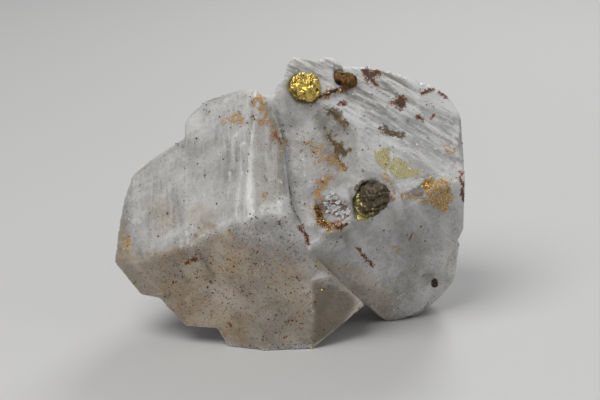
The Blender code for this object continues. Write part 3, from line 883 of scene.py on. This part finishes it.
# %% Milky calcite: gloss and fine relief
SCATTER_DEPTH = 5.0 * MM
CALCITE_IOR = 1.6
SEEN_THROUGH = 0.18
RELIEF_HEIGHT = 0.34 * MM
stained = rust.over(ochre).over(olive).over(gold)
roughness = 0.3 + milk * 0.1 + frosted_and_highlit * 0.2 + stained * 0.35 + grain * 0.1
lines = (crest_streaks * 0.35 + crest_lines * 0.2) * on_the_crest + lit_streaks * on_the_lit * 0.35
relief = lines + grain * 0.25 + fine_grain * 0.15 + stained * 0.12 - dotted * 0.1
bumped = calcite_paint.bump(relief, RELIEF_HEIGHT, 0.85)
calcite_paint.set(
    base_color=skin,
    roughness=roughness,
    subsurface_weight=0.85,
    subsurface_radius=(1.0, 0.95, 0.87),
    subsurface_scale=SCATTER_DEPTH,
    transmission_weight=SEEN_THROUGH,
    ior=CALCITE_IOR,
    coat_weight=(1.0 - frosted_and_highlit) * (1.0 - stained) * 0.4,
    coat_roughness=0.28,
    normal=bumped,
)

# %% [markdown]
# Iron oxide isn't clear. If it only coloured the calcite, light would still go through it, and it
# would look washed out. So a second, opaque shader lies over the first wherever there is a stain.

# %% Opaque stains
STAIN_ROUGHNESS, STAIN_GLOSS = 0.7, 0.15
sockets = {"Base Color": skin, "Roughness": STAIN_ROUGHNESS, "Specular IOR Level": STAIN_GLOSS}
opaque = calcite_paint.node("ShaderNodeBsdfPrincipled", {}, {**sockets, "Normal": bumped})
clear = Signal(calcite_paint, calcite_paint.shader.outputs["BSDF"])
covered = stained.over(film * 0.8).over(dotted)
both = calcite_paint.node("ShaderNodeMixShader", {}, {0: covered, 1: clear, 2: opaque})
calcite_paint.feed(calcite_paint.tree.nodes["Material Output"].inputs["Surface"], both)


def coat_with(thing, paint):
    thing.data.materials.clear()
    thing.data.materials.append(paint.material)


coat_with(calcite, calcite_paint)
print("calcite has", len(calcite_paint.tree.nodes), "nodes")

# %% [markdown]
# ## The sulphide lumps
# Chalcopyrite breaks and grows in small tilted flats, so it glitters. Each lump starts from its own
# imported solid. Its fine skin is cut by many small planes, one for each cell of a scattered pattern,
# and the tilt of the plane decides how deep it cuts. The lump in the pocket is striated too, with
# ridges over its flats. The rusted one is earthy and pitted.

# %% Cut the lumps
LUMP_SPACING = 0.11 * MM
LUMP_LEAN = facing(40, 50)


def hackled(points, size, seed):
    """How deep points lie below a rough of small tilted flats, from 0 to 1."""
    spots = points / size
    _, number = nearest_cell(spots, seed)
    tilt = np.stack([np.sin(number * turn) for turn in (37.0, 71.0, 113.0)], axis=1)
    return 0.5 + 0.5 * np.clip(np.sum(tilt * (spots - np.round(spots)), axis=1) + number - 0.5, -1.0, 1.0)


def lump_from(node, relief, growth=0.35, height=1.0, spacing=LUMP_SPACING):
    """A finely shaped lump in place of a packed one. The relief gives depths in millimetres.
    Height below 1 presses the lump flat against the calcite."""
    lump = remeshed(merged_copy(node, node + "_lump"), spacing)
    points = smoothed(lump, points_of(lump), 2, 0.5)
    move_points(lump, points)
    depth = relief(points / MM)
    points = points + normals_of(lump) * (growth - depth)[:, None] * MM
    rise = points @ LUMP_LEAN - (points @ LUMP_LEAN).min()
    points = points - (rise * (1.0 - height))[:, None] * LUMP_LEAN
    low, high = (np.array(corner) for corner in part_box(node))
    slack = growth * MM
    points = np.clip(smoothed(lump, points, 1, 0.3), low - slack, high + slack)
    move_points(lump, np.clip(points, np.array(cad_low), np.array(cad_high)))
    lump.data.shade_smooth()
    keep_attribute(lump, "hollow", smooth_step(depth, float(np.quantile(depth, 0.4)), float(depth.max())))
    span = (points @ LUMP_LEAN - (points @ LUMP_LEAN).min()) / np.ptp(points @ LUMP_LEAN)
    keep_attribute(lump, "height", span)
    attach(lump, "root")
    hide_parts(node)
    print(lump.name, len(lump.data.polygons) * 2, "triangles")
    return lump


def golden_relief(spots):
    notches = smooth_step(rough_noise(spots / 2.4, 2, 3), 0.0, 0.5)
    facets = 0.7 * hackled(spots, 1.7, 5) + 0.3 * hackled(spots, 0.7, 9)
    return facets + 1.5 * notches + 0.06 * (1.0 + rough_noise(spots / 0.5, 3))


PLATE_LINE = facing(60, 62)


def pocket_relief(spots):
    level = spots @ PLATE_LINE / 1.7 + 1.3 * rough_noise(spots / 3.2, 13)
    ridge = np.abs(level - np.round(level)) * 2.0
    return 0.5 * ridge + 0.5 * hackled(spots, 2.6, 15) + 0.03 * (1.0 + rough_noise(spots / 0.5, 17))


def rusted_relief(spots):
    distance, number = nearest_cell(spots / 0.8, 23)
    lobes = (1.0 + rough_noise(spots / 1.6, 29, 3)) / 2.0
    return 0.35 * smooth_step(-distance, -0.6, -0.1) * number + 0.9 * smooth_step(lobes, 0.3, 0.8)


def grain_relief(spots):
    return 0.3 * hackled(spots, 0.7, 27)


golden_lump = lump_from("chalcopyrite_top", golden_relief, 0.6)
pocket_lump = lump_from("chalcopyrite_pocket", pocket_relief, 0.35)
rusted_lump = lump_from("chalcopyrite_rusted", rusted_relief, 0.6, 0.78)
dark_grain = lump_from("pyrite_grain", grain_relief, 0.2, 0.9, 0.06 * MM)

# %% [markdown]
# Fresh chalcopyrite is a deep brass yellow metal. It tarnishes in patches, first bronze and green,
# then nearly black, and where water has reached it, it turns to brown rust. One function makes every
# finish of lumps and grains, from a fresh colour, a tarnish colour and how far the tarnish has gone.

# %% Sulphide metal
def sulphide_paint(name, fresh, tarnish, spread, rust_share, rust_colour, gloss, rise=0.0):
    """Spread is how far the tarnish has gone. Rise is how much more there is of it higher up."""
    paint = Paint(name)
    place = paint.place()
    patches = paint.noise(place, 0.55, 4.0, 0.65, 0.5)
    fine = paint.noise(place, 3.2, 4.0, 0.7)
    hollow = paint.attribute("hollow")
    tarnished = patches * 0.75 + fine * 0.3 + hollow * 0.22 + paint.attribute("height") * rise
    tarnished = tarnished.between(0.78 - spread * 0.42, 0.92 - spread * 0.42)
    blackened = (paint.noise(place, 0.4, 4.0, 0.65) * 0.8 + hollow * 0.25).between(0.42, 0.62) * 0.85
    rusted = paint.noise(place, 0.5, 5.0, 0.75) + fine * 0.25
    rusted = rusted.between(0.86 - rust_share * 0.5, 0.95 - rust_share * 0.5)
    metal = paint.mix(tarnished, fresh, paint.mix(blackened, tarnish, DEEP_BROWN))
    metal = paint.mix(rusted, metal, paint.mix(fine.between(0.4, 0.65), rust_colour, RUST_ORANGE))
    metal = paint.mix(hollow.between(0.4, 0.9) * 0.8, metal, DEEP_BROWN)
    paint.set(
        base_color=metal,
        metallic=(1.0 - rusted) * (1.0 - tarnished * 0.4),
        roughness=gloss + tarnished * 0.15 + rusted * 0.4 + fine * 0.12,
        normal=paint.bump(fine + patches * 0.5, 0.12 * MM, 0.7),
    )
    return paint


BRASS_YELLOW = colour(0.8, 0.6, 0.16)
BRONZE = colour(0.17, 0.11, 0.035)
GREEN_BRASS = colour(0.42, 0.37, 0.12)
GREY_BROWN = colour(0.115, 0.09, 0.055)
BROWN_RUST = colour(0.09, 0.026, 0.006)
DARK_RUST = colour(0.045, 0.016, 0.007)
RUST_ORANGE = colour(0.34, 0.12, 0.018)
DEEP_BROWN = colour(0.03, 0.02, 0.01)
PALE_PYRITE = colour(0.4, 0.36, 0.24)
golden_paint = sulphide_paint("golden_chalcopyrite", BRASS_YELLOW, DEEP_BROWN, 0.62, 0.1, BROWN_RUST, 0.16)
pocket_paint = sulphide_paint(
    "striated_chalcopyrite", GREEN_BRASS, GREY_BROWN, 0.35, 0.2, BROWN_RUST, 0.26, 0.45
)
rusted_paint = sulphide_paint("rusted_chalcopyrite", BRONZE, DEEP_BROWN, 0.75, 0.45, BROWN_RUST, 0.35)
glitter_paint = sulphide_paint("film_glitter", BRASS_YELLOW, GREEN_BRASS, 0.4, 0.0, BROWN_RUST, 0.15)
dark_paint = sulphide_paint("dark_pyrite", PALE_PYRITE, DEEP_BROWN, 0.85, 0.1, BROWN_RUST, 0.25)
coat_with(golden_lump, golden_paint)
coat_with(pocket_lump, pocket_paint)
coat_with(rusted_lump, rusted_paint)
coat_with(dark_grain, dark_paint)
print("the lumps have their metal")

# %% [markdown]
# ## Small grains
# Thousands of grains smaller than a pinhead stand on the calcite where it is stained, and a thread of
# them follows the seam between the tall crystal and the rest. Geometry Nodes suit both. One tree
# strews points on the skin as thickly as a mark says, the other sets points along a line. Both put a
# small stone on each point, turned and sized at random, and join all of them in one mesh at the end.

# %% Trees for small stones
def socket_key(tree, name):
    """The identifier of a tree's input, which a modifier needs in place of its name."""
    return next(item.identifier for item in tree.interface.items_tree if item.name == name)


def add_node(tree, kind, settings=None, **sockets):
    made = tree.nodes.new(kind)
    for name, value in (settings or {}).items():
        setattr(made, name, value)
    for name, value in sockets.items():
        socket = made.inputs[name.replace("_", " ")]
        if isinstance(value, bpy.types.NodeSocket):
            tree.links.new(value, socket)
        else:
            socket.default_value = value
    return made


def new_tree(name, inputs):
    """An empty tree with these named inputs, and the sockets that bring them in."""
    tree = bpy.data.node_groups.new(name, "GeometryNodeTree")
    for label, kind in inputs.items():
        tree.interface.new_socket(label, in_out="INPUT", socket_type=kind)
    tree.interface.new_socket("Grains", in_out="OUTPUT", socket_type="NodeSocketGeometry")
    return tree, add_node(tree, "NodeGroupInput").outputs


def joined_stones(tree, given, points, rotation):
    """A stone on every point, turned and sized at random, then joined in one mesh with its finish."""
    stone = add_node(tree, "GeometryNodeObjectInfo", Object=given["Stone"])
    lengths = add_node(tree, "FunctionNodeRandomValue", {"data_type": "FLOAT"}, Seed=given["Seed"])
    tree.links.new(given["Least size"], lengths.inputs[2])
    tree.links.new(given["Greatest size"], lengths.inputs[3])
    widths = add_node(tree, "FunctionNodeRandomValue", {"data_type": "FLOAT_VECTOR"}, Seed=given["Seed"])
    widths.inputs[0].default_value = NARROWEST
    widths.inputs[1].default_value = WIDEST
    size = add_node(tree, "ShaderNodeVectorMath", {"operation": "SCALE"})
    tree.links.new(widths.outputs[0], size.inputs[0])
    tree.links.new(lengths.outputs[1], size.inputs["Scale"])
    spin = add_node(tree, "FunctionNodeRandomValue", {"data_type": "FLOAT"}, Seed=given["Seed"])
    spin.inputs[3].default_value = math.tau
    turned = add_node(tree, "FunctionNodeRotateEuler", {"rotation_type": "AXIS_ANGLE", "space": "LOCAL"})
    tree.links.new(spin.outputs[1], turned.inputs["Angle"])
    if rotation is not None:
        tree.links.new(rotation, turned.inputs["Rotation"])
    placed = add_node(
        tree,
        "GeometryNodeInstanceOnPoints",
        Points=points,
        Instance=stone.outputs["Geometry"],
        Rotation=turned.outputs[0],
        Scale=size.outputs[0],
    )
    joined = add_node(tree, "GeometryNodeRealizeInstances", Geometry=placed.outputs["Instances"])
    coated = add_node(
        tree, "GeometryNodeSetMaterial", Geometry=joined.outputs["Geometry"], Material=given["Finish"]
    )
    tree.links.new(coated.outputs["Geometry"], add_node(tree, "NodeGroupOutput").inputs[0])


NARROWEST = (0.45, 0.45, 0.35)
WIDEST = (1.0, 0.85, 0.7)
STONES = {
    "Stone": "NodeSocketObject",
    "Least size": "NodeSocketFloat",
    "Greatest size": "NodeSocketFloat",
    "Seed": "NodeSocketInt",
    "Finish": "NodeSocketMaterial",
}


def strewing_tree():
    inputs = {"Skin": "NodeSocketGeometry", "Kind": "NodeSocketString", "Crowd": "NodeSocketFloat"}
    tree, given = new_tree("stones_strewn_on_a_mark", {**inputs, **STONES})
    mark = add_node(tree, "GeometryNodeInputNamedAttribute", {"data_type": "FLOAT"}, Name=given["Kind"])
    crowd = add_node(tree, "ShaderNodeMath", {"operation": "MULTIPLY"})
    tree.links.new(mark.outputs["Attribute"], crowd.inputs[0])
    tree.links.new(given["Crowd"], crowd.inputs[1])
    spread = add_node(
        tree,
        "GeometryNodeDistributePointsOnFaces",
        Mesh=given["Skin"],
        Density=crowd.outputs[0],
        Seed=given["Seed"],
    )
    joined_stones(tree, given, spread.outputs["Points"], spread.outputs["Rotation"])
    return tree


def threading_tree():
    inputs = {"Line": "NodeSocketGeometry", "Gap": "NodeSocketFloat"}
    tree, given = new_tree("stones_along_a_line", {**inputs, **STONES})
    line = add_node(tree, "GeometryNodeMeshToCurve", Mesh=given["Line"])
    even = add_node(tree, "GeometryNodeResampleCurve", {"mode": "LENGTH"}, Length=given["Gap"])
    tree.links.new(line.outputs["Curve"], even.inputs["Curve"])
    joined_stones(tree, given, even.outputs["Curve"], None)
    return tree


strewn_stones = strewing_tree()
threaded_stones = threading_tree()
print("trees with", len(strewn_stones.nodes), "and", len(threaded_stones.nodes), "nodes")

# %% [markdown]
# Two little stones are repeated. The grain is a ball of 20 facets pushed out of true. The other is a
# calcite rhomb, the shape that every bit of calcite breaks into: a box whose edges meet at 75 and 105
# degrees instead of 90.

# %% The two stones
RHOMB_ANGLE = math.radians(75.0)
RHOMB_HEIGHT = 1.2


def stone_object(name, shape):
    mesh = bpy.data.meshes.new(name)
    bmesh.ops.recalc_face_normals(shape, faces=shape.faces[:])
    shape.to_mesh(mesh)
    shape.free()
    return bpy.data.objects.new(name, mesh)


def rough_grain():
    shape = bmesh.new()
    bmesh.ops.create_icosphere(shape, subdivisions=1, radius=1.0)
    for number, vertex in enumerate(shape.verts):
        vertex.co *= 0.75 + 0.4 * math.sin(number * 2.4) ** 2
    return stone_object("rough_grain", shape)


def calcite_rhomb():
    shape = bmesh.new()
    bmesh.ops.create_cube(shape, size=1.0)
    slant, upright = math.cos(RHOMB_ANGLE), math.sin(RHOMB_ANGLE)
    for vertex in shape.verts:
        x, y, z = vertex.co
        vertex.co = (x + slant * (y + z), y * upright + slant * z, z * upright * RHOMB_HEIGHT)
    return stone_object("calcite_rhomb", shape)


grain_stone = rough_grain()
rhomb_stone = calcite_rhomb()
print("stones with", len(grain_stone.data.polygons), "and", len(rhomb_stone.data.polygons), "faces")

# %% Place the stones
def grown(name, source, tree, stone, paint, slot, sizes, **values):
    """The result of a tree on a mesh, as a piece that rides on the specimen."""
    thing = new_object(name, source)
    change = thing.modifiers.new("stones", "NODES")
    change.node_group = tree
    values = {"Stone": stone, "Finish": paint.material, **values}
    values["Least size"], values["Greatest size"] = (size * MM for size in sizes)
    for label, value in values.items():
        change[socket_key(tree, label)] = value
    baked(thing)
    move_points(thing, np.clip(points_of(thing), np.array(cad_low), np.array(cad_high)))
    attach(thing, "root")
    print(name, len(thing.data.polygons), "faces")
    return thing


def strewn(name, kind, crowd, sizes, seed, paint, slot, stone=grain_stone):
    """Stones of one finish on the calcite, where the mark of that kind is strong."""
    skin = calcite.data.copy()
    return grown(name, skin, strewn_stones, stone, paint, slot, sizes, Kind=kind, Crowd=crowd, Seed=seed)


def line_mesh(name, corners):
    """A line of edges over the calcite's skin, through points given as pixels."""
    tree = BVHTree.FromObject(calcite, bpy.context.evaluated_depsgraph_get())
    spots = [point_at(corner, tree) for corner in corners]
    mesh = bpy.data.meshes.new(name)
    mesh.from_pydata(spots, [(number, number + 1) for number in range(len(spots) - 1)], [])
    return mesh


brown_grain_paint = sulphide_paint("brown_grains", BRONZE, BROWN_RUST, 0.7, 1.0, BROWN_RUST, 0.4)
gold_grain_paint = sulphide_paint("golden_grains", BRASS_YELLOW, BRONZE, 0.5, 0.45, BROWN_RUST, 0.25)
vein_paint = sulphide_paint("vein_grains", BRONZE, DEEP_BROWN, 0.9, 0.4, BROWN_RUST, 0.35)
speck_paint = sulphide_paint("iron_specks", BRONZE, DEEP_BROWN, 0.5, 1.0, DARK_RUST, 0.5)
# Mark, grains in a square metre, least and greatest size in millimetres, seed, finish, slot
GRAINS = {
    "rust_grains": ("rust", 2.4e6, (0.1, 0.34), 3, brown_grain_paint, "rusted_chalcopyrite"),
    "ochre_grains": ("ochre", 1.7e6, (0.14, 0.38), 5, gold_grain_paint, "rusted_chalcopyrite"),
    "olive_grains": ("olive", 0.9e6, (0.08, 0.24), 6, brown_grain_paint, "chalcopyrite_tarnished"),
    "golden_dust": ("gold", 3.0e6, (0.16, 0.42), 7, gold_grain_paint, "chalcopyrite_gold"),
    "film_glitter": ("film", 4.0e6, (0.06, 0.2), 8, glitter_paint, "chalcopyrite_gold"),
    "iron_specks": ("speckled", 0.9e6, (0.14, 0.4), 11, speck_paint, "rusted_chalcopyrite"),
    "ochre_specks": ("speckled", 0.35e6, (0.14, 0.38), 13, gold_grain_paint, "rusted_chalcopyrite"),
}
for name, settings in GRAINS.items():
    strewn(name, *settings)
UPPER_VEIN = [(289, 186), (290, 195), (291, 204), (295, 212), (299, 219), (303, 226), (306, 234)]
UPPER_VEIN += [(309, 244), (312, 254)]
LOWER_VEIN = [(313, 255), (320, 259), (329, 262), (337, 266), (343, 274), (350, 284)]
# Finish, least and greatest size and the gap between grains in millimetres, seed, corners
VEINS = {
    "seam_grains": (vein_paint, (0.14, 0.34), 0.34, 2, UPPER_VEIN),
    "lower_seam_grains": (brown_grain_paint, (0.08, 0.2), 1.1, 4, LOWER_VEIN),
}
for name, (paint, sizes, gap, seed, corners) in VEINS.items():
    line = line_mesh(name + "_line", corners)
    grown(name, line, threaded_stones, grain_stone, paint, "pyrite", sizes, Gap=gap * MM, Seed=seed)

# %% [markdown]
# The vug beside the seam is lined with small clear calcite crystals. They are the same rhomb strewn
# thickly, in a clearer and glossier calcite than the rest. Sparse small ones on the frosted edges and
# on the crest catch the light, as fresh cleavage does.

# %% Crystals in the vug, and flakes
def set_clear_calcite(paint, skin, roughness, scatter, radius, scatter_depth, coat):
    paint.set(
        base_color=skin,
        roughness=roughness,
        subsurface_weight=scatter,
        subsurface_radius=radius,
        subsurface_scale=scatter_depth,
        coat_weight=coat,
    )


vug_paint = Paint("clear_calcite")
vug_cloud = vug_paint.noise(vug_paint.place(), 0.9, 3.0, 0.6)
vug_skin = vug_paint.mix(vug_cloud.between(0.4, 0.62), MILK, FROST)
vug_stain = vug_paint.noise(vug_paint.place((30.0, 0.0, 0.0)), 0.6, 4.0, 0.75).between(0.5, 0.56)
vug_skin = vug_paint.mix(vug_stain * 0.85, vug_skin, BROWN_RUST)
set_clear_calcite(vug_paint, vug_skin, 0.12 + vug_stain * 0.4, 0.6, (1.0, 0.95, 0.9), 1.0 * MM, 0.4)
strewn("vug_crystals", "vug", 2.4e6, (0.35, 1.25), 9, vug_paint, "manganoan_calcite", rhomb_stone)
flake_paint = Paint("calcite_flakes")
set_clear_calcite(flake_paint, FROST, 0.15, 0.5, (1.0, 0.97, 0.93), 0.5 * MM, 0.5)
strewn("frost_flakes", "frost", 0.5e6, (0.15, 0.5), 15, flake_paint, "manganoan_calcite", rhomb_stone)
strewn("crest_flakes", "crest", 0.12e6, (0.15, 0.55), 17, flake_paint, "manganoan_calcite", rhomb_stone)

# %% [markdown]
# ## Floor and light
# A plain pale floor, and three soft lamps such as a stone photographer uses: a large one above to the
# left, which gives the lit face and the crest their brightness, a weaker one on the right, and one
# behind that shines through the thin edges. The world is dim, so the lower faces stay darker.

# %% Floor
FLOOR_HALF = 1.6
FLOOR_COLOUR = colour(0.58, 0.577, 0.57)


def flat_floor():
    mesh = bpy.data.meshes.new("floor")
    corners = [(-1, -1), (1, -1), (1, 1), (-1, 1)]
    mesh.from_pydata([(x * FLOOR_HALF, y * FLOOR_HALF, 0.0) for x, y in corners], [], [(0, 1, 2, 3)])
    return new_object("floor", mesh)


floor = flat_floor()
floor_paint = Paint("pale_floor")
floor_paint.set(base_color=FLOOR_COLOUR, roughness=0.7)
coat_with(floor, floor_paint)
print("floor", 2 * FLOOR_HALF, "m wide")

# %% Light
# Bearing, tilt, distance and width in metres, power in watts, colour
LAMPS = {
    "key": (328, 54, 0.75, 0.45, 3.9, (1.0, 0.993, 0.98)),
    "fill": (60, 35, 0.8, 0.5, 0.4, (0.95, 0.97, 1.0)),
    "rim": (160, 40, 0.7, 0.3, 1.8, (1.0, 1.0, 1.0)),
}
WORLD_COLOUR, WORLD_STRENGTH = colour(0.75, 0.76, 0.78), 0.3


def soft_lamp(name, bearing, tilt, distance, width, power, warmth):
    light = bpy.data.lights.new(name, "AREA")
    light.shape = "DISK"
    light.size = width
    light.energy = power
    light.color = warmth
    lamp = new_object(name, light)
    way = Vector(facing(bearing, tilt))
    lamp.location = CAMERA_TARGET + way * distance
    lamp.rotation_euler = (-way).to_track_quat("-Z", "Y").to_euler()


for name, settings in LAMPS.items():
    soft_lamp(name, *settings)
world = bpy.data.worlds.new("studio")
world.use_nodes = True
world.node_tree.nodes["Background"].inputs["Color"].default_value = WORLD_COLOUR
world.node_tree.nodes["Background"].inputs["Strength"].default_value = WORLD_STRENGTH
bpy.context.scene.world = world
bpy.context.scene.view_settings.view_transform = "Standard"
print(len(LAMPS), "lamps")

# %% [markdown]
# ## Finish
# The helper solid goes away.

# %% The end
bpy.data.objects.remove(calcite_solid)
